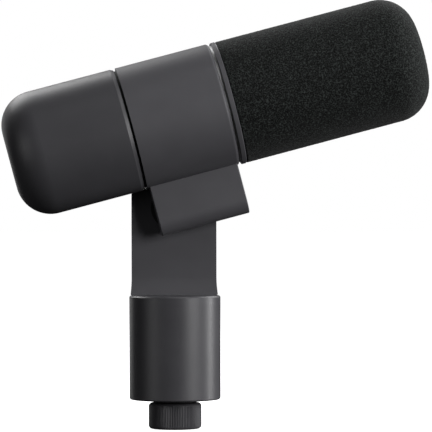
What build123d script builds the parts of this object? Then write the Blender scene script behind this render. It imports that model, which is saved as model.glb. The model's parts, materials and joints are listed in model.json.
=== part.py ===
from build123d import *
import math
import os

# End-address microphone on a tilting stem. Millimetres, degrees.
# Row frame: +X is the way the microphone's front looks, +Z is up along the stem,
# and the origin is the centre of the stand thread's mouth.

# ---- Driving dimensions ----------------------------------------------------------
AXIS_HEIGHT = 148.4      # microphone axis above the stand, on the stem's centre line
REST_TILT = 14.8         # front end up
PIVOT_HEIGHT = 105.5     # tilt axis above the stand
BAND_SHIFT = 1.4         # band's centre, ahead of the stem's centre line
BODY_R = 29.8            # shell, band, ring and windscreen are flush
BAND_HALF = 22.8         # half the band's length
TONGUE_HALF = 21.6       # and the tongue's
REAR_END = -82.5         # rear end, from the band's centre
FRONT_END = 120.6        # windscreen's front end
REAR_ROUND = 16.5        # rounding of the rear shell
FRONT_ROUND = 17.0       # and of the windscreen
REAR_GAP = 1.2           # groove between rear shell and band
FRONT_GAP = 1.0          # groove between band and windscreen ring
GROOVE_DEPTH = 1.3
RING_LENGTH = 2.4
SHELL_WALL = 1.8
TILT_DOWN = 68.0         # travel from the rest tilt to the lower stop
TILT_UP = 2.5            # and to the upper one
TONGUE_NEAR = -7.1       # tongue's two flat faces
TONGUE_FAR = 7.1
TONGUE_DROP = 53.1       # tongue's lowest point below the microphone axis
ARM_FACE = 7.6           # flat face of the arm
STEM_R = 21.75           # base and arm share one cylinder
BASE_BOTTOM = 14.0
BASE_TOP = 63.5
SCOOP_TOP = 72.2         # where the arm's flat face starts to curve out
COLLAR_R = 12.6
COLLAR_HEIGHT = 12.4
COLLAR_ROUND = 1.7
KNURL_COUNT = 96
KNURL_DEPTH = 0.3
KNURL_LAND = 0.06        # each crest is turned off by this much, which leaves a flat
THREAD_R = 7.94          # 5/8 inch stand thread, nominal radius
THREAD_LENGTH = 9.2
LEAD_R = 1.2             # two-core internal lead
RIBBON_LEAD_R = 0.8
CLEAR = 0.05             # radial clearance of running fits
FIT = 0.02               # radial clearance of fixed fits
XLR_HEIGHT = 35.0
XLR_INNER_R = 8.1
XLR_OUTER_R = 10.3
SMALL_SCREW_R = 1.25     # chassis and bracket screws
SMALL_HEAD_R = 2.2
TINY_SCREW_R = 0.9       # board and strap screws
TINY_HEAD_R = 1.6
TINY_HEAD = 1.2

# ---- Worked-out places -------------------------------------------------------------
PIVOT_DROP = AXIS_HEIGHT - PIVOT_HEIGHT
PIVOT_U = -PIVOT_DROP * math.sin(math.radians(REST_TILT)) - BAND_SHIFT
PIVOT_W = -PIVOT_DROP * math.cos(math.radians(REST_TILT))
SHELL_FRONT = -BAND_HALF - REAR_GAP
RING_START = BAND_HALF + FRONT_GAP
FOAM_START = RING_START + RING_LENGTH
GROOVE_R = BODY_R - GROOVE_DEPTH
SHELL_INNER_R = BODY_R - SHELL_WALL
HEAD = Pos(0, 0, AXIS_HEIGHT) * Rot(0, -REST_TILT, 0) * Pos(BAND_SHIFT, 0, 0)
PIVOT = Pos(0, 0, PIVOT_HEIGHT)


# ---- Helpers -----------------------------------------------------------------------
def rod(radius, start, end):
    """Cylinder along +Z between two heights."""
    return Pos(0, 0, (start + end) / 2) * Cylinder(radius, end - start)


def tube(outer, inner, start, end):
    return rod(outer, start, end) - rod(inner, start, end)


def block(x, y, z):
    """Box between three pairs of limits."""
    centre = Pos((x[0] + x[1]) / 2, (y[0] + y[1]) / 2, (z[0] + z[1]) / 2)
    return centre * Box(x[1] - x[0], y[1] - y[0], z[1] - z[0])


def lengthwise(shape):
    """Lay a shape drawn along +Z along the microphone's axis, +X."""
    return Rot(0, 90, 0) * shape


def crosswise(shape):
    """Lay a shape drawn along +Z across the object, along +Y."""
    return Rot(-90, 0, 0) * shape


def rim(solid, axis, last):
    """Outermost circular edge at one end of a turned solid."""
    ends = solid.edges().filter_by(GeomType.CIRCLE).group_by(axis)[-1 if last else 0]
    return ends.sort_by(SortBy.RADIUS)[-1]


def rounded_rod(radius, start, end, rounding, last):
    """Cylinder along +Z with one end rounded over."""
    solid = rod(radius, start, end)
    return solid.fillet(rounding, [rim(solid, Axis.Z, last)])


def screw(shank_r, length, head_r, head_height):
    """Socket-head screw: head above z = 0, shank below it."""
    socket = extrude(RegularPolygon(head_r * 0.5, 6), head_height * 0.6)
    head = rod(head_r, 0, head_height) - Pos(0, 0, head_height * 0.4) * socket
    return head + rod(shank_r, -length, 0)


def around(count, radius, first=0.0):
    """Places on a circle in the XY plane."""
    angles = [math.radians(first + turn * 360 / count) for turn in range(count)]
    return [Pos(radius * math.cos(a), radius * math.sin(a), 0) for a in angles]


def lead(points, radii, radius):
    """Round lead along straight runs joined by tangent arcs."""
    path = FilletPolyline(*points, radius=radii)
    section = Plane(origin=path @ 0, z_dir=path % 0) * Circle(radius)
    return sweep(section, path=path)


# ---- Stand collar --------------------------------------------------------------------
COLLAR_BORE_R = 9.8
COLLAR_SHOULDER = 10.75
SPINDLE_R = 8.5
SPINDLE_END = 10.65


def knurled_collar():
    """Coupling ring: straight knurl, rounded rims, shouldered bore."""
    step = 2 * math.pi / KNURL_COUNT
    outline = []
    for rib in range(KNURL_COUNT):
        crest = rib * step
        valley = crest + step / 2
        root_r = COLLAR_R - KNURL_DEPTH
        crest_r = COLLAR_R + KNURL_LAND
        outline.append((crest_r * math.cos(crest), crest_r * math.sin(crest)))
        outline.append((root_r * math.cos(valley), root_r * math.sin(valley)))
    knurl = extrude(make_face(Polyline(*outline, close=True)), COLLAR_HEIGHT)
    blank = rod(COLLAR_R, 0, COLLAR_HEIGHT)
    rims = [rim(blank, Axis.Z, False), rim(blank, Axis.Z, True)]
    blank = blank.fillet(COLLAR_ROUND, rims)
    ring = blank & knurl
    ring -= rod(COLLAR_BORE_R, -1, COLLAR_SHOULDER)
    return ring - rod(SPINDLE_R + CLEAR, 0, COLLAR_HEIGHT + 1)


def thread_insert():
    return tube(COLLAR_BORE_R - FIT, THREAD_R, 0, THREAD_LENGTH)


# ---- Swivel ----------------------------------------------------------------------------
RETAINER_R = 9.6
RETAINER_THICKNESS = 1.1
SPINDLE_SCREW_R = 2.0
SPINDLE_SCREW_HEAD_R = 3.9
NECK_R = 10.25
PLATE_R = 19.2
PLATE_TOP = 18.0
BASE_SCREW_CIRCLE = 16.0
BASE_SCREW_R = 1.5
BASE_SCREW_LENGTH = 9.0
BASE_SCREW_HEAD_R = 2.7
BASE_SCREW_SINK = 2.0


def swivel_washer():
    """Rounded friction ring that shows as the neck."""
    ring = tube(NECK_R, SPINDLE_R + FIT, COLLAR_HEIGHT + CLEAR, BASE_BOTTOM - CLEAR)
    rims = [rim(ring, Axis.Z, False), rim(ring, Axis.Z, True)]
    return ring.fillet(0.6, rims)


def countersink():
    low = SPINDLE_END - RETAINER_THICKNESS
    cone = Cone(SPINDLE_SCREW_HEAD_R, SPINDLE_SCREW_R, RETAINER_THICKNESS)
    return Pos(0, 0, low + RETAINER_THICKNESS / 2) * cone


def retaining_washer():
    low = SPINDLE_END - RETAINER_THICKNESS
    return rod(RETAINER_R, low, SPINDLE_END) - countersink()


def spindle_screw():
    low = SPINDLE_END - RETAINER_THICKNESS
    body = countersink() + rod(SPINDLE_SCREW_R, SPINDLE_END, PLATE_TOP - 0.5)
    return body - Pos(0, 0, low) * extrude(RegularPolygon(1.5, 6), RETAINER_THICKNESS)


def base_plate():
    """Bottom plate of the base, with the spindle that the collar turns on."""
    plate = rod(PLATE_R, BASE_BOTTOM, PLATE_TOP)
    plate += rod(SPINDLE_R, SPINDLE_END, BASE_BOTTOM)
    plate -= rod(SPINDLE_SCREW_R + FIT, SPINDLE_END, PLATE_TOP)
    for place in around(3, BASE_SCREW_CIRCLE, -90):
        plate -= place * rod(BASE_SCREW_R + CLEAR, BASE_BOTTOM, PLATE_TOP)
        plate -= place * rod(BASE_SCREW_HEAD_R + CLEAR, BASE_BOTTOM, BASE_BOTTOM + BASE_SCREW_SINK)
    return plate


def base_plate_screws():
    one = Rot(180, 0, 0) * screw(BASE_SCREW_R, BASE_SCREW_LENGTH, BASE_SCREW_HEAD_R, BASE_SCREW_SINK - 0.2)
    seated = Pos(0, 0, BASE_BOTTOM + BASE_SCREW_SINK) * one
    return [place * seated for place in around(3, BASE_SCREW_CIRCLE, -90)]


# ---- Base and arm ----------------------------------------------------------------------
BASE_INNER_R = 19.25
BASE_ROOF = 56.2
BOSS_R = 4.0
BOSS_TOP = 27.0
RIM_CHAMFER = 0.6
ARM_SCREW_DEPTH = 7.0
ARM_SCREW_R = 2.0
ARM_SCREW_HEAD_R = 3.0
ARM_SCREW_PLACES = [(-10.5, 11.5), (10.5, 11.5), (-4.2, 10.5), (4.2, 10.5)]
CHANNEL_Y = 16.6         # where the lead runs down inside the arm
CHANNEL_R = 1.6
ARM_TOP_R = 17.5         # rounded top of the arm's back, about the pivot
ARM_TOP_GAP = 0.45       # gap between the arm's saddle and the band
ARM_TOP_FROM = 90 + REST_TILT - TILT_DOWN
ARM_TOP_TO = 90 + REST_TILT + TILT_UP


def base_housing():
    """Cylindrical base, open below, with the connector's opening at the back."""
    shell = rod(STEM_R, BASE_BOTTOM, BASE_TOP)
    rims = [rim(shell, Axis.Z, False), rim(shell, Axis.Z, True)]
    shell = shell.chamfer(RIM_CHAMFER, None, rims)
    shell -= rod(BASE_INNER_R, BASE_BOTTOM, BASE_ROOF)
    bosses = [place * tube(BOSS_R, BASE_SCREW_R + CLEAR, PLATE_TOP, BOSS_TOP)
              for place in around(3, BASE_SCREW_CIRCLE, -90)]
    for boss in bosses:
        shell += boss & rod(STEM_R - 1, BASE_BOTTOM, BASE_TOP)
    for place in around(3, BASE_SCREW_CIRCLE, -90):
        shell -= place * rod(BASE_SCREW_R + CLEAR, PLATE_TOP, BOSS_TOP)
    shell -= Pos(0, 0, XLR_HEIGHT) * crosswise(rod(XLR_OUTER_R + FIT, 10, STEM_R + 1))
    shell -= Pos(0, CHANNEL_Y, 0) * rod(CHANNEL_R, BASE_ROOF - 1, BASE_TOP)
    for x, y in ARM_SCREW_PLACES:
        shell -= Pos(x, y, 0) * rod(ARM_SCREW_R + CLEAR, BASE_ROOF - 1, BASE_TOP)
    return shell


def polar(radius, degrees):
    """Point in the XZ plane, measured from the pivot."""
    angle = math.radians(degrees)
    return (radius * math.cos(angle), PIVOT_HEIGHT + radius * math.sin(angle))


def arm_side():
    """Side view of the arm: straight sides, and a top rounded about the pivot."""
    reach = STEM_R + 1
    front = polar(ARM_TOP_R, ARM_TOP_FROM)
    top = polar(ARM_TOP_R, (ARM_TOP_FROM + ARM_TOP_TO) / 2)
    rear = polar(ARM_TOP_R, ARM_TOP_TO)
    front_drop = (reach - front[0]) / math.tan(math.radians(ARM_TOP_FROM))
    rear_drop = (rear[0] + reach) / -math.tan(math.radians(ARM_TOP_TO))
    outline = [
        Line((-reach, BASE_TOP), (reach, BASE_TOP)),
        Line((reach, BASE_TOP), (reach, front[1] - front_drop)),
        Line((reach, front[1] - front_drop), front),
        ThreePointArc(front, top, rear),
        Line(rear, (-reach, rear[1] - rear_drop)),
        Line((-reach, rear[1] - rear_drop), (-reach, BASE_TOP)),
    ]
    face = Plane.XZ * make_face(Wire(outline))
    return extrude(face, STEM_R + 1, dir=(0, 1, 0))


def head_sweep():
    """Room that the round body takes as it tilts from one stop to the other."""
    radius = BODY_R + ARM_TOP_GAP
    section = Pos(-PIVOT_W, 0, 0) * Circle(radius)
    turned = revolve(Rot(0, -ARM_TOP_FROM, 0) * section, Axis.Y, -(TILT_DOWN + TILT_UP))
    room = PIVOT * turned
    for direction in (ARM_TOP_FROM, ARM_TOP_TO):
        body = Pos(-PIVOT_W, 0, 0) * rod(radius, -2 * BODY_R, 2 * BODY_R)
        room += PIVOT * Rot(0, -direction, 0) * body
    return room


def arm_near_side():
    """Everything in front of the arm's flat face and its scooped foot."""
    reach = STEM_R + 1
    front = block((-reach, reach), (-reach, ARM_FACE), (SCOOP_TOP, AXIS_HEIGHT))
    scoop = Pos(0, ARM_FACE - STEM_R, SCOOP_TOP) * lengthwise(rod(STEM_R, -reach, reach))
    return front + scoop


PIVOT_SHAFT_R = 5.0
PIVOT_BUSH_R = 6.5
PIVOT_BUSH_END = 10.9
CHAMBER_R = 9.5
CAP_START = 18.0


def stem_arm():
    """D-section arm with pivot bore, cable chamber and cable channel."""
    arm = arm_side() & rod(STEM_R, BASE_TOP, AXIS_HEIGHT)
    arm -= arm_near_side()
    arm -= head_sweep()
    arm -= PIVOT * crosswise(rod(PIVOT_BUSH_R + FIT, ARM_FACE - 1, PIVOT_BUSH_END))
    arm -= PIVOT * crosswise(rod(CHAMBER_R, PIVOT_BUSH_END, STEM_R + 1))
    arm -= Pos(0, CHANNEL_Y, 0) * rod(CHANNEL_R, BASE_TOP, PIVOT_HEIGHT)
    for x, y in ARM_SCREW_PLACES:
        arm -= Pos(x, y, 0) * rod(ARM_SCREW_R + CLEAR, BASE_TOP, BASE_TOP + ARM_SCREW_DEPTH)
    foot = arm.edges().group_by(Axis.Z)[0].sort_by(Axis.Y)[-1]
    return arm.chamfer(RIM_CHAMFER / 2, None, [foot])


def arm_screws():
    length = BASE_TOP - BASE_ROOF + ARM_SCREW_DEPTH - 1
    one = Rot(180, 0, 0) * screw(ARM_SCREW_R, length, ARM_SCREW_HEAD_R, 3)
    return [Pos(x, y, BASE_ROOF) * one for x, y in ARM_SCREW_PLACES]


# ---- Tilt pivot --------------------------------------------------------------------------
BUSH_FLANGE_R = 8.2
FLANGE_END = 11.4
THRUST_START = 11.45
SPRING_START = 11.85
SPRING_HEIGHT = 0.6
NUT_START = 13.05
SHAFT_END = 15.2
SHAFT_START = 1.9
SHAFT_BORE_R = 2.8
THRUST_R = 8.0
SPRING_R = 7.6
NUT_R = 7.4
FRICTION_R = 11.0


def pivot_bush():
    bush = rod(PIVOT_BUSH_R, ARM_FACE + CLEAR, PIVOT_BUSH_END)
    bush += rod(BUSH_FLANGE_R, PIVOT_BUSH_END, FLANGE_END)
    bush -= rod(PIVOT_SHAFT_R + CLEAR, 0, FLANGE_END)
    return PIVOT * crosswise(bush)


def friction_washer():
    ring = tube(FRICTION_R, PIVOT_SHAFT_R + 0.3, TONGUE_FAR + CLEAR, ARM_FACE)
    return PIVOT * crosswise(ring)


def pivot_shaft():
    """Hollow shaft, screwed into the tongue."""
    return PIVOT * crosswise(tube(PIVOT_SHAFT_R, SHAFT_BORE_R, SHAFT_START, SHAFT_END))


def thrust_washer():
    return PIVOT * crosswise(tube(THRUST_R, PIVOT_SHAFT_R + FIT, THRUST_START, SPRING_START))


def spring_washers():
    """Two dished washers, face to face."""
    half = SPRING_HEIGHT / 2
    inner = PIVOT_SHAFT_R + FIT
    outline = Polyline((inner, 0), (SPRING_R, half), (SPRING_R, SPRING_HEIGHT), (inner, half), close=True)
    section = make_face(outline)
    dished = revolve(Plane.XZ * section, Axis.Z)
    first = Pos(0, 0, SPRING_START) * dished
    second = Pos(0, 0, NUT_START) * (Rot(180, 0, 0) * dished)
    return [PIVOT * crosswise(first), PIVOT * crosswise(second)]


def lock_nut():
    nut = extrude(RegularPolygon(NUT_R, 6), SHAFT_END - NUT_START)
    nut -= rod(PIVOT_SHAFT_R + FIT, 0, SHAFT_END - NUT_START)
    return PIVOT * crosswise(Pos(0, 0, NUT_START) * nut)


def pivot_cap():
    """Cap over the pivot chamber, flush with the arm's round back."""
    cap = PIVOT * crosswise(rod(CHAMBER_R - CLEAR, CAP_START, STEM_R + 1))
    return cap & rod(STEM_R - 0.15, BASE_TOP, AXIS_HEIGHT)


# ---- Output connector --------------------------------------------------------------------
XLR_SPIGOT_R = 9.4
XLR_PIN_R = 1.2
XLR_PIN_CIRCLE = 3.75
XLR_PIN_TIP = 17.0
BRACKET_NEAR = 2.0
BRACKET_FAR = 4.0
BRACKET_HALF = 13.0
BRACKET_FOOT = 1.6
BRACKET_SCREW_X = (-6, 6)
BRACKET_SCREW_Y = -4.0
RING_NUT_R = 12.0


def at_connector(shape):
    return Pos(0, 0, XLR_HEIGHT) * crosswise(shape)


def xlr_shell():
    """Round three-pin socket shell, its rim flush with the base."""
    shell = rod(XLR_OUTER_R, BRACKET_FAR, STEM_R + 1) + rod(XLR_SPIGOT_R, -0.5, BRACKET_FAR)
    shell = at_connector(shell - rod(XLR_INNER_R, -1, STEM_R + 2))
    return shell & rod(STEM_R - 0.1, BASE_BOTTOM, BASE_TOP)


def xlr_insulator():
    body = rod(XLR_INNER_R - FIT, -0.5, 6)
    for place in around(3, XLR_PIN_CIRCLE, 30):
        body -= place * rod(XLR_PIN_R + FIT, -1, 7)
    return at_connector(body)


def xlr_pins():
    pin = rounded_rod(XLR_PIN_R, -3.5, XLR_PIN_TIP, 0.6, True)
    return [at_connector(place * pin) for place in around(3, XLR_PIN_CIRCLE, 30)]


def xlr_ring_nut():
    nut = extrude(RegularPolygon(RING_NUT_R, 12), BRACKET_NEAR) - rod(XLR_SPIGOT_R + FIT, -1, 3)
    return at_connector(nut)


def xlr_bracket():
    """Upright plate on a foot that stands on the base plate."""
    heights = (PLATE_TOP, XLR_HEIGHT + RING_NUT_R)
    bracket = block((-BRACKET_HALF, BRACKET_HALF), (BRACKET_NEAR, BRACKET_FAR), heights)
    bracket += block((-10, 10), (-8, BRACKET_NEAR), (PLATE_TOP, PLATE_TOP + BRACKET_FOOT))
    bracket -= at_connector(rod(XLR_SPIGOT_R + FIT, 0, 6))
    for x in BRACKET_SCREW_X:
        hole = rod(SMALL_SCREW_R + CLEAR, PLATE_TOP, PLATE_TOP + BRACKET_FOOT)
        bracket -= Pos(x, BRACKET_SCREW_Y, 0) * hole
    return bracket


def bracket_screws():
    one = screw(SMALL_SCREW_R, BRACKET_FOOT, SMALL_HEAD_R, 1.6)
    seated = Pos(0, BRACKET_SCREW_Y, PLATE_TOP + BRACKET_FOOT) * one
    return [Pos(x, 0, 0) * seated for x in BRACKET_SCREW_X]


def stem_lead():
    """Lead from the pivot down the arm and round to the connector."""
    points = [(0, 10.0, PIVOT_HEIGHT), (0, CHANNEL_Y, PIVOT_HEIGHT), (0, CHANNEL_Y, 52),
              (0, -9, 49), (0, -9, XLR_HEIGHT), (0, -4.2, XLR_HEIGHT)]
    return lead(points, [3, 4, 4, 4], LEAD_R)


# ---- Casing ----------------------------------------------------------------------------------
BAND_BORE_R = 25.2
SPIGOT_LENGTH = 8.0
SPIGOT_R = SHELL_INNER_R - CLEAR
LIP_START = -14.0
LIP_END = -8.0
LIP_R = 20.5
PASSAGE_R = 2.2
PASSAGE_Y = -1.2
CHASSIS_CIRCLE = 22.9


def rear_shell():
    """Closed cup with a rounded rear end and a bevelled front edge."""
    shell = rounded_rod(BODY_R, REAR_END, SHELL_FRONT, REAR_ROUND, False)
    shell = shell.chamfer(0.7, 1.6, [rim(shell, Axis.Z, True)], shell.faces().sort_by(Axis.Z)[-1])
    cavity_start = REAR_END + SHELL_WALL
    inner_round = REAR_ROUND - SHELL_WALL
    shell -= rounded_rod(SHELL_INNER_R, cavity_start, SHELL_FRONT + 1, inner_round, False)
    return lengthwise(shell)


def tongue():
    """Flat-sided tongue with a fully rounded lower edge."""
    middle = (TONGUE_NEAR + TONGUE_FAR) / 2
    round_r = (TONGUE_FAR - TONGUE_NEAR) / 2
    centre = -TONGUE_DROP + round_r
    web = block((-TONGUE_HALF, TONGUE_HALF), (TONGUE_NEAR, TONGUE_FAR), (centre, 0))
    return web + Pos(0, middle, centre) * lengthwise(rod(round_r, -TONGUE_HALF, TONGUE_HALF))


def mount_band():
    """Central band with its tongue, rear spigot and inner lip."""
    band = rod(BODY_R, -BAND_HALF, BAND_HALF)
    band = lengthwise(band.fillet(1.5, [rim(band, Axis.Z, True)]))
    hanging = tongue()
    corners = hanging.edges().filter_by(Axis.X, reverse=True).group_by(Axis.X)
    for end in (corners[0], corners[-1]):
        hanging = hanging.fillet(0.5, [edge for edge in end if edge.center().Z < -10])
    band += hanging
    band += lengthwise(rod(SPIGOT_R, -BAND_HALF - SPIGOT_LENGTH, -BAND_HALF))
    band -= lengthwise(rod(BAND_BORE_R, -BAND_HALF - SPIGOT_LENGTH - 1, LIP_START))
    band -= lengthwise(rod(LIP_R, LIP_START - 1, LIP_END + 1))
    band -= lengthwise(rod(BAND_BORE_R, LIP_END, BAND_HALF + 1))
    for place in around(3, CHASSIS_CIRCLE, 180):
        band -= lengthwise(place * rod(SMALL_SCREW_R + CLEAR, LIP_START - 1, LIP_END))
    band -= Pos(PIVOT_U, PASSAGE_Y, 0) * rod(PASSAGE_R, PIVOT_W - 1, -LIP_R + 2)
    pivot_bore = rod(PIVOT_SHAFT_R + FIT, SHAFT_START, TONGUE_FAR + 1)
    pivot_bore += rod(SHAFT_BORE_R, PASSAGE_Y - PASSAGE_R - 0.5, SHAFT_START)
    return band - Pos(PIVOT_U, 0, PIVOT_W) * crosswise(pivot_bore)


def rear_seal():
    return lengthwise(tube(GROOVE_R, SPIGOT_R + FIT, SHELL_FRONT + CLEAR, -BAND_HALF - CLEAR))


# ---- Chassis and transformer -------------------------------------------------------------------
BULKHEAD_BACK = -17.0
BULKHEAD_BORE_R = 9.0
BULKHEAD_SCREW_LENGTH = 8.0
SLED_END = -76.0
SLED_HALF = 17.0
SLED_TOP = -6.5
SLED_UNDER = -8.0
TAB_FOOT = -19.0
TAB_BACK = BULKHEAD_BACK - 1.5
TAB_SCREW_Y = (-6, 6)
TAB_SCREW_W = -14.0
STANDOFF_R = 1.8
CAN_WALL = 0.8
STRAP_MIDDLE = -58.0
STRAP_HALF = 3.5
STRAP_THICKNESS = 0.9
STRAP_FOOT_Y = 15.2
CAN_R = 12.5
CAN_BACK = -72.0
CAN_FRONT = -44.0
CAN_CENTRE = SLED_TOP + CAN_R + CLEAR
CORE_BACK = -68.0
CORE_FRONT = -48.0
BOARD_TOP = -3.3
BOARD_UNDER = -4.9
BOARD_PLACES = [(-39, -8), (-39, 8), (-26, -8), (-26, 8)]
PIN_PLACES = [(x, y) for x in (-36, -28.5) for y in (-4, 0, 4)]
PIN_R = 0.5
RIBBON_LEAD_DROP = -12.0


def bulkhead():
    plate = tube(BAND_BORE_R - CLEAR, BULKHEAD_BORE_R, BULKHEAD_BACK, LIP_START)
    for place in around(3, CHASSIS_CIRCLE, 180):
        plate -= place * rod(SMALL_SCREW_R + CLEAR, BULKHEAD_BACK, LIP_START)
    plate = lengthwise(plate)
    for y in TAB_SCREW_Y:
        hole = lengthwise(rod(SMALL_SCREW_R + CLEAR, BULKHEAD_BACK, LIP_START))
        plate -= Pos(0, y, TAB_SCREW_W) * hole
    return plate


def bulkhead_screws():
    one = Rot(180, 0, 0) * screw(SMALL_SCREW_R, BULKHEAD_SCREW_LENGTH, SMALL_HEAD_R, 2)
    one = Pos(0, 0, BULKHEAD_BACK) * one
    return [lengthwise(place * one) for place in around(3, CHASSIS_CIRCLE, 180)]


def sled():
    """Shelf for the transformer and board, with a tab that meets the bulkhead."""
    shelf = block((SLED_END, BULKHEAD_BACK), (-SLED_HALF, SLED_HALF), (SLED_UNDER, SLED_TOP))
    shelf += block((TAB_BACK, BULKHEAD_BACK), (-9, 9), (TAB_FOOT, SLED_UNDER))
    for y in TAB_SCREW_Y:
        hole = lengthwise(rod(SMALL_SCREW_R + CLEAR, TAB_BACK, BULKHEAD_BACK))
        shelf -= Pos(0, y, TAB_SCREW_W) * hole
    for x, y in BOARD_PLACES:
        shelf += Pos(x, y, 0) * rod(STANDOFF_R, SLED_TOP, BOARD_UNDER)
        shelf -= Pos(x, y, 0) * rod(TINY_SCREW_R + CLEAR, SLED_UNDER, BOARD_UNDER)
    for y in (-STRAP_FOOT_Y, STRAP_FOOT_Y):
        shelf -= Pos(STRAP_MIDDLE, y, 0) * rod(TINY_SCREW_R + CLEAR, SLED_UNDER, SLED_TOP)
    return shelf


def sled_screws():
    one = Pos(0, 0, TAB_BACK) * (Rot(180, 0, 0) * screw(SMALL_SCREW_R, 4, SMALL_HEAD_R, 1.8))
    return [Pos(0, y, TAB_SCREW_W) * lengthwise(one) for y in TAB_SCREW_Y]


def on_can_axis(shape):
    return Pos(0, 0, CAN_CENTRE) * lengthwise(shape)


def transformer_can():
    inside = rod(CAN_R - CAN_WALL, CAN_BACK + CAN_WALL, CAN_FRONT)
    return on_can_axis(rod(CAN_R, CAN_BACK, CAN_FRONT) - inside)


def transformer_core():
    """Laminated block with a centre leg between two windows."""
    core = block((CORE_BACK, CORE_FRONT), (-8, 8), (CAN_CENTRE - 5, CAN_CENTRE + 5))
    for side in (-1, 1):
        limits = sorted((side * 2.7, side * 5.4))
        core -= block((CORE_BACK + 3, CORE_FRONT - 3), limits, (0, CAN_CENTRE + 6))
    return core


def around_leg(half_y, half_z, back, front):
    return block((back, front), (-half_y, half_y), (CAN_CENTRE - half_z, CAN_CENTRE + half_z))


def transformer_bobbin():
    back, front = CORE_BACK + 3.1, CORE_FRONT - 3.1
    return around_leg(3.3, 5.6, back, front) - around_leg(2.75, 5.05, back, front)


def transformer_winding():
    back, front = CORE_BACK + 3.6, CORE_FRONT - 3.6
    coil = around_leg(5.2, 8.0, back, front)
    coil = coil.fillet(1.5, coil.edges().filter_by(Axis.X))
    return coil - around_leg(3.35, 5.65, back, front)


def transformer_strap():
    """Strap over the can, with a foot on each side of the shelf."""
    back, front = STRAP_MIDDLE - STRAP_HALF, STRAP_MIDDLE + STRAP_HALF
    outer = CAN_R + STRAP_THICKNESS
    feet = (SLED_TOP, SLED_TOP + STRAP_THICKNESS)
    strap = on_can_axis(rod(outer, back, front))
    strap += block((back, front), (-outer, outer), (SLED_TOP, CAN_CENTRE))
    strap += block((back, front), (-SLED_HALF, SLED_HALF), feet)
    strap -= on_can_axis(rod(CAN_R + FIT, back, front))
    strap -= block((back, front), (-CAN_R - FIT, CAN_R + FIT), (SLED_TOP, CAN_CENTRE))
    strap -= block((back, front), (-SLED_HALF, SLED_HALF), (SLED_TOP - outer, SLED_TOP))
    for y in (-STRAP_FOOT_Y, STRAP_FOOT_Y):
        strap -= Pos(STRAP_MIDDLE, y, 0) * rod(TINY_SCREW_R + CLEAR, *feet)
    return strap


def strap_screws():
    one = Pos(0, 0, SLED_TOP + STRAP_THICKNESS) * screw(TINY_SCREW_R, 3, TINY_HEAD_R, TINY_HEAD)
    return [Pos(STRAP_MIDDLE, y, 0) * one for y in (-STRAP_FOOT_Y, STRAP_FOOT_Y)]


def terminal_board():
    board = block((-41.5, -23.5), (-10.5, 10.5), (BOARD_UNDER, BOARD_TOP))
    for x, y in BOARD_PLACES:
        board -= Pos(x, y, 0) * rod(TINY_SCREW_R + CLEAR, BOARD_UNDER, BOARD_TOP)
    for x, y in PIN_PLACES:
        board -= Pos(x, y, 0) * rod(PIN_R + CLEAR, BOARD_UNDER, BOARD_TOP)
    return board


def board_screws():
    one = Pos(0, 0, BOARD_TOP) * screw(TINY_SCREW_R, 4, TINY_HEAD_R, TINY_HEAD)
    return [Pos(x, y, 0) * one for x, y in BOARD_PLACES]


def terminal_pins():
    pin = rod(PIN_R, BOARD_UNDER - 0.8, BOARD_TOP + 2.5)
    return [Pos(x, y, 0) * pin for x, y in PIN_PLACES]


def head_lead():
    """Output lead from the board, down the tongue, to the pivot's middle."""
    height = BOARD_TOP + LEAD_R + 0.1
    points = [(-27.5, PASSAGE_Y, height), (PIVOT_U, PASSAGE_Y, height),
              (PIVOT_U, PASSAGE_Y, PIVOT_W), (PIVOT_U, 10.0, PIVOT_W)]
    return lead(points, [6, 3], LEAD_R)


def ribbon_lead():
    """Pair from the ribbon's clamps back to the board."""
    points = [(76.0, 0, RIBBON_LEAD_DROP), (8, 0, RIBBON_LEAD_DROP),
              (-8, 3.5, BOARD_TOP + 1), (-27.5, 3.5, BOARD_TOP + 1)]
    return lead(points, [12, 12], RIBBON_LEAD_R)


# ---- Front frame, grille and capsule carrier -----------------------------------------------------
SPIGOT_FRONT_R = 24.0
GRILLE_R = 22.0
GRILLE_INNER_R = 21.0
GRILLE_START = 15.0
GRILLE_END = 104.0
GRILLE_ROUND = 12.0
COLLAR_END = 32.0
LINING_R = 20.9
CARRIER_R = 18.0
CARRIER_BORE_R = 6.0
MOTOR_U = 81.0           # the ribbon's plane
MOTOR_BACK = MOTOR_U - 4.5
MOTOR_FRONT = MOTOR_U + 4.5
SLOT_ROWS = 6
SLOTS_AROUND = 16
SLOT_LENGTH = 8.0
SLOT_WIDTH = 4.6
FRONT_HOLE_R = 1.5
FRONT_HOLES = ((1, 0), (6, 4.2), (10, 8.2))   # how many on each circle, and its radius
LABYRINTH_BACK = 38.0
LABYRINTH_FRONT = 64.0
FELT_FRONT = 66.0
CARRIER_FRONT = 68.5
POST_R = 1.2
POST_PLACES = [(w, y) for w in (-16.2, 16.2) for y in (-4, 4)]


def front_collar():
    """Ring that closes the band and carries the grille."""
    ring = rod(BAND_BORE_R - CLEAR, BAND_HALF - 8, BAND_HALF)
    ring += rod(GROOVE_R, BAND_HALF, RING_START - CLEAR)
    ring += rod(SPIGOT_FRONT_R, RING_START - CLEAR, COLLAR_END)
    return lengthwise(ring - rod(GRILLE_R + FIT, BAND_HALF - 9, COLLAR_END + 1))


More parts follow.
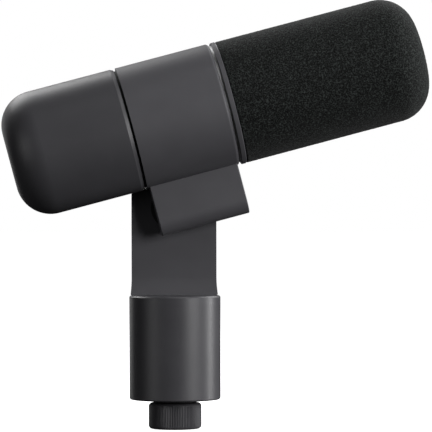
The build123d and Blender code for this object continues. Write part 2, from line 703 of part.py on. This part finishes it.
def grille_basket():
    """Slotted basket with a rounded, pierced front."""
    basket = rounded_rod(GRILLE_R, GRILLE_START, GRILLE_END, GRILLE_ROUND, True)
    wall = GRILLE_R - GRILLE_INNER_R
    inner_round = GRILLE_ROUND - wall
    basket -= rounded_rod(GRILLE_INNER_R, GRILLE_START - 1, GRILLE_END - wall, inner_round, True)
    pitch = (GRILLE_END - GRILLE_ROUND - COLLAR_END) / SLOT_ROWS
    cutters = []
    for row in range(SLOT_ROWS):
        middle = COLLAR_END + (row + 0.5) * pitch
        slot = Pos(0, 0, middle) * Box(2 * GRILLE_R + 2, SLOT_WIDTH, SLOT_LENGTH)
        cutters += [Rot(0, 0, turn * 360 / SLOTS_AROUND) * slot for turn in range(SLOTS_AROUND // 2)]
    hole = rod(FRONT_HOLE_R, GRILLE_END - 2, GRILLE_END + 1)
    for count, radius in FRONT_HOLES:
        cutters += [place * hole for place in around(count, radius)]
    for cutter in cutters:
        basket -= cutter
    return lengthwise(basket)


def grille_lining():
    outer = rounded_rod(LINING_R, COLLAR_END, GRILLE_END - 1.3, GRILLE_ROUND - 1.3, True)
    inner = rounded_rod(LINING_R - 0.3, COLLAR_END - 1, GRILLE_END - 1.6, GRILLE_ROUND - 1.6, True)
    return lengthwise(outer - inner)


def lead_hole(start, end):
    return Pos(0, 0, RIBBON_LEAD_DROP) * lengthwise(rod(RIBBON_LEAD_R + 0.3, start, end))


def labyrinth_body():
    """Damping block behind the ribbon, pierced by ducts."""
    ends = (LABYRINTH_BACK, LABYRINTH_FRONT)
    body = rod(CARRIER_R, *ends)
    for place in around(6, 7.5):
        body -= place * rod(1.8, *ends)
    for place in around(8, 14.4, 22.5):
        body -= place * rod(1.5, *ends)
    return lengthwise(body) - lead_hole(*ends)


def damping_felt():
    ends = (LABYRINTH_FRONT, FELT_FRONT)
    return lengthwise(rod(CARRIER_R, *ends)) - lead_hole(*ends)


def motor_carrier():
    """Disc with four posts that hold the ribbon motor."""
    ends = (FELT_FRONT, CARRIER_FRONT)
    carrier = tube(CARRIER_R, CARRIER_BORE_R, *ends)
    for w, y in POST_PLACES:
        carrier += Pos(w, y, 0) * rod(POST_R, CARRIER_FRONT, MOTOR_BACK)
    return lengthwise(carrier) - lead_hole(*ends)


def shock_rings():
    ring = tube(LINING_R - 0.35, CARRIER_R + FIT, 0, 2)
    return [lengthwise(Pos(0, 0, start) * ring) for start in (LABYRINTH_BACK + 3, FELT_FRONT + 0.2)]


# ---- Ribbon motor ----------------------------------------------------------------------------------
WINDOW_Y = 7.4
WINDOW_W = 15.0
MAGNET_W = 11.8
MAGNET_Y = 4.1
POLE_TIP_Y = 2.6
FRAME_Y = 9.0
FRAME_W = 17.6
CLAMP_START_W = 12.2
CLAMP_SCREW_R = 0.6
CLAMP_SCREW_Y = (-4.4, 4.4)
CLAMP_SCREW_W = 13.5
RIBBON_HALF = 2.3
RIBBON_THICKNESS = 0.06
RIBBON_FOLDS = 40
RIBBON_WAVE = 0.35


def motor_frame():
    frame = block((MOTOR_BACK, MOTOR_FRONT), (-FRAME_Y, FRAME_Y), (-FRAME_W, FRAME_W))
    return frame - block((MOTOR_BACK, MOTOR_FRONT), (-WINDOW_Y, WINDOW_Y), (-WINDOW_W, WINDOW_W))


def mirrored(shape):
    """A shape and its reflection across the ribbon's middle plane."""
    return [shape, mirror(shape, Plane.XZ)]


def magnets():
    bar = block((MOTOR_BACK + 0.5, MOTOR_FRONT - 0.5), (MAGNET_Y, WINDOW_Y), (-MAGNET_W, MAGNET_W))
    return mirrored(bar)


def pole_pieces():
    """Tapered soft-iron strips along both sides of the ribbon."""
    outline = Polyline((MOTOR_BACK + 1, MAGNET_Y), (MOTOR_FRONT - 1, MAGNET_Y),
                       (MOTOR_U + 1.5, POLE_TIP_Y), (MOTOR_U - 1.5, POLE_TIP_Y), close=True)
    strip = Pos(0, 0, -MAGNET_W) * extrude(make_face(outline), 2 * MAGNET_W)
    return mirrored(strip)


def ribbon():
    """Corrugated foil: folded in its middle, flat where it is clamped."""
    fold = 2 * MAGNET_W / RIBBON_FOLDS
    near = [(MOTOR_U, -WINDOW_W + 0.3), (MOTOR_U, -MAGNET_W)]
    for step in range(1, RIBBON_FOLDS):
        side = RIBBON_WAVE if step % 2 else -RIBBON_WAVE
        near.append((MOTOR_U + side, -MAGNET_W + step * fold))
    near += [(MOTOR_U, MAGNET_W), (MOTOR_U, WINDOW_W - 0.3)]
    far = [(u + RIBBON_THICKNESS, w) for u, w in reversed(near)]
    face = Plane.XZ * make_face(Polyline(*near, *far, close=True))
    return Pos(0, RIBBON_HALF, 0) * extrude(face, 2 * RIBBON_HALF, dir=(0, -1, 0))


def clamp_bar(back, front, side):
    limits = sorted((side * CLAMP_START_W, side * (WINDOW_W - 0.2)))
    bar = block((back, front), (-6.2, 6.2), limits)
    for y in CLAMP_SCREW_Y:
        hole = lengthwise(rod(CLAMP_SCREW_R + CLEAR, back - 1, front + 1))
        bar -= Pos(0, y, side * CLAMP_SCREW_W) * hole
    return bar


def ribbon_clamps():
    front_face = MOTOR_U + RIBBON_THICKNESS
    bars = [clamp_bar(front_face, front_face + 2, side) for side in (-1, 1)]
    return bars + [clamp_bar(MOTOR_U - 1.5, MOTOR_U, side) for side in (-1, 1)]


def clamp_insulators():
    return [clamp_bar(MOTOR_BACK + 0.5, MOTOR_U - 1.5, side) for side in (-1, 1)]


def clamp_screws():
    one = Pos(0, 0, MOTOR_U + RIBBON_THICKNESS + 2) * screw(CLAMP_SCREW_R, 5, 1.1, 0.9)
    places = [(y, w) for y in CLAMP_SCREW_Y for w in (-CLAMP_SCREW_W, CLAMP_SCREW_W)]
    return [Pos(0, y, w) * lengthwise(one) for y, w in places]


def damping_screens():
    screen = block((0, 0.3), (0.6 - FRAME_Y, FRAME_Y - 0.6), (0.6 - FRAME_W, FRAME_W - 0.6))
    return [Pos(MOTOR_FRONT, 0, 0) * screen]


# ---- Windscreen ------------------------------------------------------------------------------------
RING_BORE_R = SPIGOT_FRONT_R + 0.1
SKIRT_R = 25.3
SKIRT_END = 31.0
FOAM_BORE_R = 22.6


def windscreen_ring():
    """Stiff ring with a thin skirt that holds the foam."""
    ring = rod(BODY_R, RING_START, FOAM_START)
    ring = ring.chamfer(0.3, None, [rim(ring, Axis.Z, False), rim(ring, Axis.Z, True)])
    ring += rod(SKIRT_R, FOAM_START, SKIRT_END)
    return lengthwise(ring - rod(RING_BORE_R, RING_START - 1, SKIRT_END + 1))


def foam_windscreen():
    """Foam cup with a rounded front end."""
    foam = rounded_rod(BODY_R, FOAM_START, FRONT_END, FRONT_ROUND, True)
    foam -= rod(SKIRT_R + FIT, FOAM_START - 1, SKIRT_END)
    foam -= rod(SPIGOT_FRONT_R + 0.4, SKIRT_END - 1, COLLAR_END + 0.6)
    foam -= rounded_rod(FOAM_BORE_R, COLLAR_END, GRILLE_END + 1, GRILLE_ROUND, True)
    return lengthwise(foam)


# ---- Nodes -------------------------------------------------------------------------------------------
IN_ROW_FRAME = [
    knurled_collar, thread_insert, swivel_washer, retaining_washer, spindle_screw, base_plate,
    base_plate_screws, base_housing, arm_screws, stem_arm, pivot_bush, friction_washer, pivot_cap,
    xlr_shell, xlr_insulator, xlr_pins, xlr_ring_nut, xlr_bracket, bracket_screws, stem_lead,
    pivot_shaft, thrust_washer, spring_washers, lock_nut,
]
ON_TILTED_AXIS = [
    mount_band, rear_shell, rear_seal, bulkhead, bulkhead_screws, sled, sled_screws,
    transformer_can, transformer_core, transformer_bobbin, transformer_winding, transformer_strap,
    strap_screws, terminal_board, board_screws, terminal_pins, head_lead, ribbon_lead,
    front_collar, grille_basket, grille_lining, labyrinth_body, damping_felt, motor_carrier,
    shock_rings, motor_frame, magnets, pole_pieces, ribbon, ribbon_clamps, clamp_insulators,
    clamp_screws, damping_screens, windscreen_ring, foam_windscreen,
]


def export(make, place):
    """Write one sub-part, or a group of separate solids, to its own file."""
    made = make()
    shapes = made if isinstance(made, list) else [made]
    solids = [solid for shape in shapes for solid in (place * shape).solids()]
    shape = solids[0] if len(solids) == 1 else Compound(children=solids)
    export_step(shape, f"parts/{make.__name__}.step")


os.makedirs("parts", exist_ok=True)
for make in IN_ROW_FRAME:
    export(make, Pos(0, 0, 0))
for make in ON_TILTED_AXIS:
    export(make, HEAD)
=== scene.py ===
import json
import math

import bpy
import numpy as np
from mathutils import Matrix, Vector, noise


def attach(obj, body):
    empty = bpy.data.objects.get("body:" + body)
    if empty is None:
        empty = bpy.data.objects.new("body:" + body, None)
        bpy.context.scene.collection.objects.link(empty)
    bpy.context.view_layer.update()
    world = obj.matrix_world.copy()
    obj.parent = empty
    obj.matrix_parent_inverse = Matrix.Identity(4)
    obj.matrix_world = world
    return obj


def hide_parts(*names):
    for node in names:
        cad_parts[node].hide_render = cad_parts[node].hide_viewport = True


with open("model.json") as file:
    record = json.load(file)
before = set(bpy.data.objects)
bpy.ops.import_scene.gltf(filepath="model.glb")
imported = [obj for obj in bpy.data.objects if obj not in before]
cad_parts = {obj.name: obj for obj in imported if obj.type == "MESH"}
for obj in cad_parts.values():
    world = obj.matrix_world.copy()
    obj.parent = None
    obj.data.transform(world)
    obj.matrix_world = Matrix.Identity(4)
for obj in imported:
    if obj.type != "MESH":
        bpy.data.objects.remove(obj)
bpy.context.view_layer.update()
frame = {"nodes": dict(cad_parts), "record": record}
nodes = frame["nodes"]
for packed in list(bpy.data.materials):
    bpy.data.materials.remove(packed)
SLOT_OF = {part["node"]: part["material_slot"] for part in frame["record"]["subparts"]}

# ---- Dimensions repeated from the CAD, in metres ---------------------------------------
MM = 0.001
TILT = math.radians(14.8)
AXIS_HEIGHT = 148.4 * MM
BAND_SHIFT = 1.4 * MM
BODY_R = 29.8 * MM
FOAM_START = 26.2 * MM
FRONT_END = 120.6 * MM
FRONT_ROUND = 17.0 * MM
SKIRT_END = 31.0 * MM


# ---- Node helpers ------------------------------------------------------------------------
class Shader:
    """A Principled material, with short helpers for the nodes in front of it."""

    def __init__(self, name, color, roughness, metallic=0.0, **sockets):
        self.material = bpy.data.materials.new(name)
        self.material.use_nodes = True
        self.tree = self.material.node_tree
        self.shader = self.tree.nodes["Principled BSDF"]
        self.material.diffuse_color = (*color, 1)
        self.put("Base Color", (*color, 1))
        self.put("Roughness", roughness)
        self.put("Metallic", metallic)
        for socket, value in sockets.items():
            self.put(socket.replace("_", " "), value)

    def put(self, socket, value):
        self.shader.inputs[socket].default_value = value

    def node(self, kind, **values):
        made = self.tree.nodes.new(kind)
        for key, value in values.items():
            setattr(made, key, value)
        return made

    def link(self, source, target):
        self.tree.links.new(source, target)

    def place(self, scale=(1, 1, 1)):
        """Object coordinates in millimetres, stretched by scale."""
        where = self.node("ShaderNodeTexCoord")
        mapping = self.node("ShaderNodeMapping")
        mapping.inputs["Scale"].default_value = [s / MM for s in scale]
        self.link(where.outputs["Object"], mapping.inputs["Vector"])
        return mapping.outputs["Vector"]

    def noise(self, vector, scale, detail=3.0, roughness=0.55):
        """Noise from 0 to 1, with scale features in a millimetre."""
        made = self.node("ShaderNodeTexNoise")
        made.inputs["Scale"].default_value = scale
        made.inputs["Detail"].default_value = detail
        made.inputs["Roughness"].default_value = roughness
        self.link(vector, made.inputs["Vector"])
        return made.outputs["Fac"]

    def cells(self, vector, scale):
        """Distance to the nearest cell centre."""
        made = self.node("ShaderNodeTexVoronoi")
        made.inputs["Scale"].default_value = scale
        self.link(vector, made.inputs["Vector"])
        return made.outputs["Distance"]

    def wave(self, vector, scale, distortion=0.0, direction="X"):
        made = self.node("ShaderNodeTexWave", bands_direction=direction)
        made.inputs["Scale"].default_value = scale
        made.inputs["Distortion"].default_value = distortion
        self.link(vector, made.inputs["Vector"])
        return made.outputs["Fac"]

    def ranged(self, value, low, high, start=0.0, end=1.0):
        """Maps start..end to low..high."""
        made = self.node("ShaderNodeMapRange")
        made.inputs["From Min"].default_value = start
        made.inputs["From Max"].default_value = end
        made.inputs["To Min"].default_value = low
        made.inputs["To Max"].default_value = high
        self.link(value, made.inputs["Value"])
        return made.outputs["Result"]

    def times(self, first, second):
        made = self.node("ShaderNodeMath", operation="MULTIPLY")
        self.link(first, made.inputs[0])
        self.link(second, made.inputs[1])
        return made.outputs[0]

    def colors(self, value, dark, light, start=0.3, end=0.7):
        """Runs between two colours as value goes from start to end."""
        ramp = self.node("ShaderNodeValToRGB")
        ramp.color_ramp.elements[0].position = start
        ramp.color_ramp.elements[0].color = (*dark, 1)
        ramp.color_ramp.elements[1].position = end
        ramp.color_ramp.elements[1].color = (*light, 1)
        self.link(value, ramp.inputs["Fac"])
        self.link(ramp.outputs["Color"], self.shader.inputs["Base Color"])

    def rough(self, value, low, high, start=0.3, end=0.7):
        made = self.ranged(value, low, high, start, end)
        self.link(made, self.shader.inputs["Roughness"])

    def bump(self, height, depth):
        """Relief of that depth, in millimetres."""
        made = self.node("ShaderNodeBump")
        made.inputs["Strength"].default_value = 1.0
        made.inputs["Distance"].default_value = depth * MM
        self.link(height, made.inputs["Height"])
        self.link(made.outputs["Normal"], self.shader.inputs["Normal"])


def scaled(color, factor):
    return tuple(channel * factor for channel in color)


# ---- Materials -----------------------------------------------------------------------------
def satin_coat(name, color, roughness):
    """Fine matt coat on metal: a sand-like grain, with slight cloudy changes of gloss."""
    made = Shader(name, color, roughness, Specular_IOR_Level=0.5)
    where = made.place()
    cloud = made.noise(where, 0.05, 2)
    made.colors(cloud, scaled(color, 0.94), scaled(color, 1.06))
    made.rough(made.noise(where, 0.9, 4), roughness - 0.04, roughness + 0.04)
    made.bump(made.noise(where, 4.5, 2), 0.012)
    return made.material


def foam():
    """Open-cell foam: lighter strands, with painted shade darkening the pores between them."""
    color = (0.0140, 0.0160, 0.0153)
    made = Shader("foam", color, 0.9, Specular_IOR_Level=0.2, Sheen_Weight=0.07, Sheen_Roughness=0.45)
    where = made.place()
    strands_and_pore_shade = made.times(made.cells(where, 1.6), made.noise(where, 1.3, 4, 0.75))
    # Painted shade: the colour runs very dark in the pores and lighter on the strands.
    made.colors(strands_and_pore_shade, scaled(color, 0.1), scaled(color, 3.8), 0.18, 0.50)
    made.bump(made.noise(where, 1.6, 4, 0.7), 0.3)
    return made.material


def turned_metal(name, color, roughness):
    """Machined metal with fine parallel tool marks."""
    made = Shader(name, color, roughness, 1.0)
    marks = made.noise(made.place((0.04, 0.04, 9.0)), 1.0, 3)
    made.rough(marks, roughness - 0.07, roughness + 0.09)
    made.colors(made.noise(made.place(), 0.08, 3), scaled(color, 0.88), color)
    made.bump(marks, 0.008)
    return made.material


def blasted(name, color, roughness):
    """Bead-blasted metal."""
    made = Shader(name, color, roughness, 1.0)
    where = made.place()
    made.rough(made.noise(where, 0.4, 4), roughness - 0.06, roughness + 0.06)
    made.colors(made.noise(where, 0.06, 3), scaled(color, 0.85), color)
    made.bump(made.noise(where, 3.5, 2), 0.015)
    return made.material


def moulded(name, color, roughness):
    """Spark-eroded moulded plastic."""
    made = Shader(name, color, roughness, Specular_IOR_Level=0.45)
    where = made.place()
    made.colors(made.noise(where, 0.08, 3), scaled(color, 0.85), scaled(color, 1.15))
    made.rough(made.noise(where, 1.4, 3), roughness - 0.05, roughness + 0.07)
    made.bump(made.noise(where, 3.0, 3), 0.02)
    return made.material


def winding():
    """Close turns of enamelled wire."""
    color = (0.45, 0.15, 0.06)
    made = Shader("copper_winding", color, 0.3, 0.9, Coat_Weight=0.4)
    turns = made.wave(made.place(), 1.1, distortion=0.1)
    made.colors(turns, scaled(color, 0.35), color, 0.05, 0.6)
    made.bump(turns, 0.2)
    return made.material


def laminate():
    """Green circuit laminate with a faint weave."""
    color = (0.02, 0.13, 0.06)
    made = Shader("board_green", color, 0.4, Coat_Weight=0.3, Coat_Roughness=0.25)
    where = made.place()
    weave = made.times(made.wave(where, 0.8), made.wave(where, 0.8, direction="Y"))
    made.colors(weave, scaled(color, 0.75), scaled(color, 1.2), 0.1, 0.9)
    made.bump(weave, 0.02)
    return made.material


def rubbery():
    color = (0.015, 0.015, 0.015)
    made = Shader("rubber", color, 0.7, Specular_IOR_Level=0.35)
    where = made.place()
    made.colors(made.noise(where, 0.3, 4), scaled(color, 0.8), scaled(color, 1.3))
    made.rough(made.noise(where, 1.1, 3), 0.62, 0.8)
    made.bump(made.noise(where, 2.5, 3), 0.03)
    return made.material


def felted():
    """Pressed fibres lying every way."""
    color = (0.30, 0.29, 0.27)
    made = Shader("felt", color, 1.0, Sheen_Weight=0.4, Specular_IOR_Level=0.1)
    fibres = made.noise(made.place((1.0, 0.25, 0.25)), 2.0, 5, 0.7)
    crossing = made.noise(made.place((0.25, 1.0, 0.25)), 2.0, 5, 0.7)
    mixed = made.times(fibres, crossing)
    made.colors(mixed, scaled(color, 0.5), scaled(color, 1.25), 0.12, 0.42)
    made.bump(mixed, 0.3)
    return made.material


COAT = (0.0672, 0.0662, 0.0725)
MATERIALS = {
    "black_satin": satin_coat("black_satin", COAT, 0.42),
    # Painted light: the shell, band, arm and base coats are the same paint as black_satin, lightened
    # part by part to stand in for how brightly each is lit.
    "shell_satin_painted_light": satin_coat("shell_satin_painted_light", scaled(COAT, 1.15), 0.44),
    "band_satin_painted_light": satin_coat("band_satin_painted_light", scaled(COAT, 1.58), 0.52),
    "arm_satin_painted_light": satin_coat("arm_satin_painted_light", scaled(COAT, 1.4), 0.44),
    "base_satin_painted_light": satin_coat("base_satin_painted_light", scaled(COAT, 1.2), 0.38),
    "black_knurled": satin_coat("black_knurled", scaled(COAT, 1.3), 0.38),
    "ring_grey": satin_coat("ring_grey", scaled(COAT, 1.5), 0.46),
    "foam": foam(),
    "steel": turned_metal("steel", (0.55, 0.55, 0.56), 0.30),
    "aluminium": blasted("aluminium", (0.70, 0.70, 0.71), 0.42),
    "brass": turned_metal("brass", (0.72, 0.53, 0.24), 0.26),
    "copper": winding(),
    "black_plastic": moulded("black_plastic", (0.022, 0.022, 0.022), 0.45),
    "board_green": laminate(),
    "rubber": rubbery(),
    "felt": felted(),
}
# Painted light: these parts take the lightened copies of the coat in place of their slot's finish.
PAINTED_LIGHT_FINISH = {
    "rear_shell": "shell_satin_painted_light",
    "mount_band": "band_satin_painted_light",
    "stem_arm": "arm_satin_painted_light",
    "pivot_cap": "arm_satin_painted_light",
    "base_housing": "base_satin_painted_light",
}
for name, cad_node in nodes.items():
    cad_node.data.materials.clear()
    cad_node.data.materials.append(MATERIALS[PAINTED_LIGHT_FINISH.get(name, SLOT_OF[name])])


# ---- Foam windscreen, in place of the plain CAD solid -----------------------------------------
FOAM_STEP = 0.52 * MM
PORE_SIZE = 0.95 * MM
PORE_DEPTH = 0.30 * MM
SKIN_INSET = 0.05 * MM
FOAM_BORE_R = 22.6 * MM
FOAM_SKIRT_R = 25.35 * MM
FOAM_INNER_END = 105.0 * MM
FOAM_INNER_ROUND = 12.0 * MM
FOAM_LIP = 0.8 * MM
AXIS_HOLE = 0.4 * MM
PORE_SHARPNESS = 2.2
PORE_SHARE = 0.65           # of the depth, the rest being unevenness
UNEVEN_SCALE = 2.3          # bumps in the width of a pore
FADE_ROWS = 4               # rows over which the pores start at the rear lip
LIP_POINTS = 4
BORE_POINTS = 9
NOSE_POINTS = 56


def head_matrix():
    """The microphone's own frame: +X along its axis, from the band's centre."""
    return (
        Matrix.Translation((0, 0, AXIS_HEIGHT))
        @ Matrix.Rotation(-TILT, 4, "Y")
        @ Matrix.Translation((BAND_SHIFT, 0, 0))
    )


def arc(centre, radius, start, end, count):
    """Points on a circle in the (along, across) plane."""
    return [
        (centre[0] + radius * math.cos(a), centre[1] + radius * math.sin(a))
        for a in np.linspace(start, end, count)
    ]


def spaced(points, step):
    """The same line, cut into even steps."""
    points = np.array(points)
    runs = np.linalg.norm(np.diff(points, axis=0), axis=1)
    along = np.concatenate([[0], np.cumsum(runs)])
    count = int(round(along[-1] / step)) + 1
    places = np.linspace(0, along[-1], count)
    return np.stack([np.interp(places, along, points[:, k]) for k in (0, 1)], 1)


def foam_bore():
    """Half section of the cavity, from the front end back to the rear face."""
    centre = (FOAM_INNER_END - FOAM_INNER_ROUND, FOAM_BORE_R - FOAM_INNER_ROUND)
    inner = arc(centre, FOAM_INNER_ROUND, 0, math.pi / 2, BORE_POINTS)
    rear = [(SKIRT_END, FOAM_BORE_R), (SKIRT_END, FOAM_SKIRT_R), (FOAM_START, FOAM_SKIRT_R)]
    return np.array([(FOAM_INNER_END, AXIS_HOLE)] + inner + rear)


def foam_skin():
    """Half section of the outside, from the rear lip round the front end."""
    lip_centre = (FOAM_START + FOAM_LIP, BODY_R - FOAM_LIP)
    lip = arc(lip_centre, FOAM_LIP, math.pi, math.pi / 2, LIP_POINTS)
    nose_centre = (FRONT_END - FRONT_ROUND, BODY_R - FRONT_ROUND)
    nose = arc(nose_centre, FRONT_ROUND, math.pi / 2, 0, NOSE_POINTS)
    return spaced(lip + nose + [(FRONT_END, AXIS_HOLE)], FOAM_STEP)


def turned(outline, sides):
    """Grid of points: a line in the (along, across) plane turned about the X axis."""
    angles = np.arange(sides) * 2 * math.pi / sides
    x = np.repeat(outline[:, 0], sides)
    y = np.outer(outline[:, 1], np.cos(angles)).ravel()
    z = np.outer(outline[:, 1], np.sin(angles)).ravel()
    return np.stack([x, y, z], 1)


def outward(outline, sides):
    """The turned line's normals, on the same grid."""
    along = np.gradient(outline, axis=0)
    along /= np.linalg.norm(along, axis=1)[:, None]
    return turned(np.stack([-along[:, 1], along[:, 0]], 1), sides)


def grid_faces(rows, sides):
    """Faces of a turned grid, closed at both ends by the two points after it."""
    faces = []
    for row in range(rows - 1):
        low = row * sides
        for side in range(sides):
            after = (side + 1) % sides
            faces.append((low + side, low + sides + side, low + sides + after, low + after))
    first, last = rows * sides, (rows - 1) * sides
    for side in range(sides):
        after = (side + 1) % sides
        faces.append((first, side, after))
        faces.append((last + side, first + 1, last + after))
    return faces


def pore_depth(point):
    """0 on a strand of the foam, to 1 in the middle of a pore."""
    near, second = noise.voronoi(point / PORE_SIZE)[0][:2]
    pore = min(1.0, (second - near) * PORE_SHARPNESS)
    uneven = (1 + noise.noise(point / PORE_SIZE * UNEVEN_SCALE)) / 2
    return PORE_SHARE * pore + (1 - PORE_SHARE) * uneven


def foam_mesh():
    """Thick cup of foam with open pores in its outer skin."""
    bore, skin = foam_bore(), foam_skin()
    sides = int(2 * math.pi * BODY_R / FOAM_STEP)
    outside = turned(skin, sides)
    depth = np.array([pore_depth(Vector(point)) for point in outside])
    fade = np.minimum(1, np.repeat(np.arange(len(skin)), sides) / FADE_ROWS)
    sunk = SKIN_INSET + PORE_DEPTH * depth * fade
    outside -= outward(skin, sides) * sunk[:, None]
    ends = [(FOAM_INNER_END, 0, 0), (FRONT_END - SKIN_INSET - PORE_DEPTH / 2, 0, 0)]
    points = np.concatenate([turned(bore, sides), outside, ends])
    mesh = bpy.data.meshes.new("windscreen_foam")
    mesh.from_pydata(points.tolist(), [], grid_faces(len(bore) + len(skin), sides))
    mesh.polygons.foreach_set("use_smooth", [True] * len(mesh.polygons))
    mesh.transform(head_matrix())
    mesh.materials.append(MATERIALS["foam"])
    return mesh


foam_piece = bpy.data.objects.new("windscreen_foam", foam_mesh())
bpy.context.scene.collection.objects.link(foam_piece)
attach(foam_piece, "windscreen")
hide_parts("foam_windscreen")

# ---- Floor: plain and white; it neither lights the object nor blocks its lights ----------------
FLOOR_HALF = 6.0
floor_mesh = bpy.data.meshes.new("floor")
corners = [(x * FLOOR_HALF, y * FLOOR_HALF, 0) for x, y in ((-1, -1), (1, -1), (1, 1), (-1, 1))]
floor_mesh.from_pydata(corners, [], [(0, 1, 2, 3)])
floor = bpy.data.objects.new("floor", floor_mesh)
bpy.context.scene.collection.objects.link(floor)
floor_paint = Shader("floor", (0.9, 0.9, 0.9), 0.9, Emission_Color=(1, 1, 1, 1), Emission_Strength=1.0)
floor_mesh.materials.append(floor_paint.material)
floor.visible_diffuse = False
floor.visible_glossy = False
floor.visible_shadow = False

# ---- Lights ------------------------------------------------------------------------------------
LIGHTS_AIM = Vector((0.02, 0, 0.12))
BOX_DISTANCE = 1.0
BOX_HEIGHT = 0.5
SOFTBOXES = {
    # name: (azimuth, elevation, width, watts); azimuth 0 is the camera's side
    "left_low": (-150, 3, 0.5, 0.5),
    "left_fill": (-60, 3, 0.5, 0.9),
    "right_key": (43, 10, 0.5, 5.8),
    "right_side": (97, 3, 0.24, 4.0),
    "back_left": (-150, 38, 0.5, 3.8),
    "right_high": (75, 35, 0.5, 2.0),
    "back_right": (150, 38, 0.5, 3.6),
    "top": (30, 66, 0.5, 1.8),
}


def softbox(name, azimuth, elevation, width, watts):
    """Area light that looks at LIGHTS_AIM."""
    turn, lift = math.radians(azimuth), math.radians(elevation)
    away = Vector(
        (math.sin(turn) * math.cos(lift), -math.cos(turn) * math.cos(lift), math.sin(lift))
    )
    lamp = bpy.data.lights.new(name, "AREA")
    lamp.shape = "RECTANGLE"
    lamp.size = width
    lamp.size_y = BOX_HEIGHT
    lamp.energy = watts
    piece = bpy.data.objects.new(name, lamp)
    bpy.context.scene.collection.objects.link(piece)
    piece.location = LIGHTS_AIM + away * BOX_DISTANCE
    piece.rotation_euler = away.to_track_quat("Z", "Y").to_euler()
    piece.visible_camera = False


for name, values in SOFTBOXES.items():
    softbox(name, *values)


# ---- World: white behind the object, and nearly dark as a light ---------------------------------
AMBIENT = 0.01
world = bpy.data.worlds.new("studio")
bpy.context.scene.world = world
world.use_nodes = True
background = world.node_tree.nodes["Background"]
path = world.node_tree.nodes.new("ShaderNodeLightPath")
seen = world.node_tree.nodes.new("ShaderNodeMapRange")
seen.inputs["To Min"].default_value = AMBIENT
seen.inputs["To Max"].default_value = 1.0
world.node_tree.links.new(path.outputs["Is Camera Ray"], seen.inputs["Value"])
world.node_tree.links.new(seen.outputs["Result"], background.inputs["Strength"])
background.inputs["Color"].default_value = (1, 1, 1, 1)
bpy.context.scene.view_settings.view_transform = "Standard"

# ---- Camera --------------------------------------------------------------------------------------
CAMERA_AIM = Vector((0.0197, 0, 0.0756))
CAMERA_DISTANCE = 1.5
CAMERA_YAW = math.radians(3.38)
CAMERA_PITCH = math.radians(-1.58)
CAMERA_ROLL = math.radians(0.11)
SENSOR_MM = 36.0
LENS_MM = 261.7
FRAME_SHIFT = 0.125

ahead = Vector(
    (
        math.sin(CAMERA_YAW) * math.cos(CAMERA_PITCH),
        math.cos(CAMERA_YAW) * math.cos(CAMERA_PITCH),
        math.sin(CAMERA_PITCH),
    )
)
lens = bpy.data.cameras.new("camera")
lens.sensor_width = SENSOR_MM
lens.lens = LENS_MM
lens.shift_y = FRAME_SHIFT
lens.clip_start = 0.01
camera = bpy.data.objects.new("camera", lens)
bpy.context.scene.collection.objects.link(camera)
level = Vector((math.cos(CAMERA_YAW), -math.sin(CAMERA_YAW), 0))
upright = level.cross(ahead)
right = level * math.cos(CAMERA_ROLL) - upright * math.sin(CAMERA_ROLL)
up = level * math.sin(CAMERA_ROLL) + upright * math.cos(CAMERA_ROLL)
facing = Matrix((right, up, -ahead)).transposed().to_4x4()
camera.matrix_world = Matrix.Translation(CAMERA_AIM - ahead * CAMERA_DISTANCE) @ facing
bpy.context.scene.camera = camera
